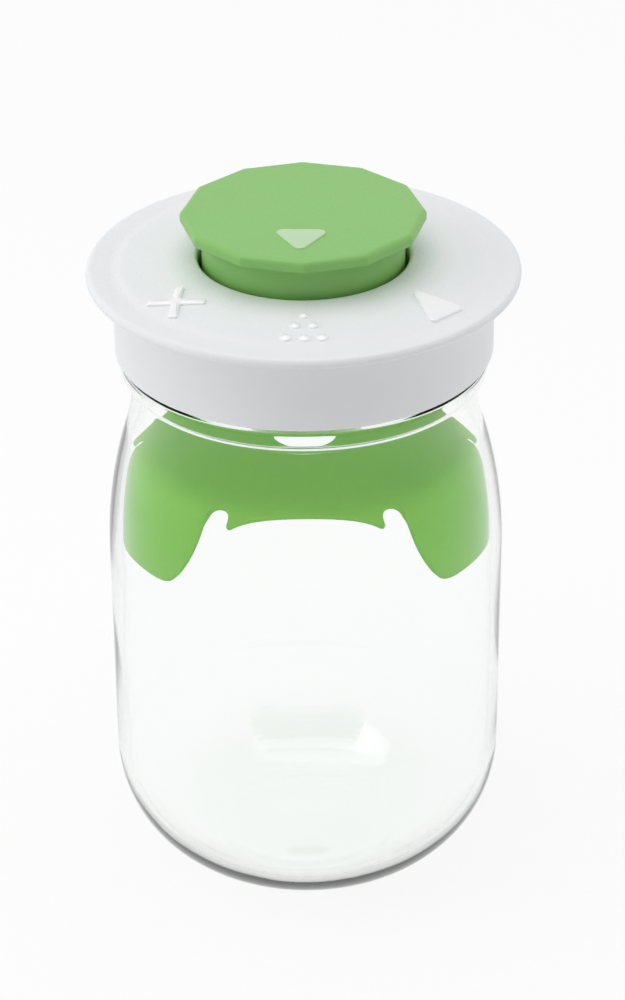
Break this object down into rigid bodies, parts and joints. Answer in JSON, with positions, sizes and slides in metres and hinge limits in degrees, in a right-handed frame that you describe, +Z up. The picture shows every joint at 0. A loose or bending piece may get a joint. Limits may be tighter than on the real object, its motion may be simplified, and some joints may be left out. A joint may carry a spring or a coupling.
{
  "type": "fermentation jar",
  "caption": "Glass jar with a screw lid, a twelve-sided knob that works a gas valve in the lid, and a petalled keeper that holds the food under its brine.",
  "frame": {"origin": "centre of the jar's base, on the surface that it stands on", "axes": "+Z up along the jar's axis; -Y is the front, which the knob's pointer faces at rest; +X is to the right seen from the front"},
  "size_m": [0.1062, 0.1062, 0.1827],
  "materials": {
    "clear_glass": "polished",
    "white_plastic": "fine grain on top, satin skirt",
    "green_plastic": "satin",
    "pale_green_plastic": "polished",
    "natural_plastic": "satin",
    "green_silicone": "matte",
    "seal_silicone": "matte, translucent",
    "keeper_green": "satin, translucent"
  },
  "bodies": {
    "jar": {"glass_jar": "clear_glass"},
    "keeper": {"keeper": "keeper_green"},
    "seal": {"lid_seal": "seal_silicone"},
    "lid": {"lid_shell": "white_plastic"},
    "knob": {"knob": "green_plastic", "pointer": "pale_green_plastic", "stem_ring": "seal_silicone", "stem_clip": "natural_plastic", "valve_plate": "green_silicone", "relief_valve": "seal_silicone"}
  },
  "joints": [
    {"name": "lid_rise", "type": "slide", "parent": "jar", "child": "seal", "axis": [0, 0, 1], "range_m": [0, 0.024]},
    {"name": "lid_turn", "type": "hinge", "parent": "seal", "child": "lid", "pos_m": [0, 0, 0.155], "axis": [0, 0, 1], "range_deg": [0, 720]},
    {"name": "knob_turn", "type": "hinge", "parent": "lid", "child": "knob", "pos_m": [0, 0, 0.155], "axis": [0, 0, 1], "range_deg": [-57, 57]},
    {"name": "keeper_slide", "type": "slide", "parent": "jar", "child": "keeper", "axis": [0, 0, -1], "range_m": [0, 0.058]}
  ],
  "couplings": [
    {"joint": "lid_rise", "follows": "lid_turn", "m_per_rad": 0.0019098}
  ]
}
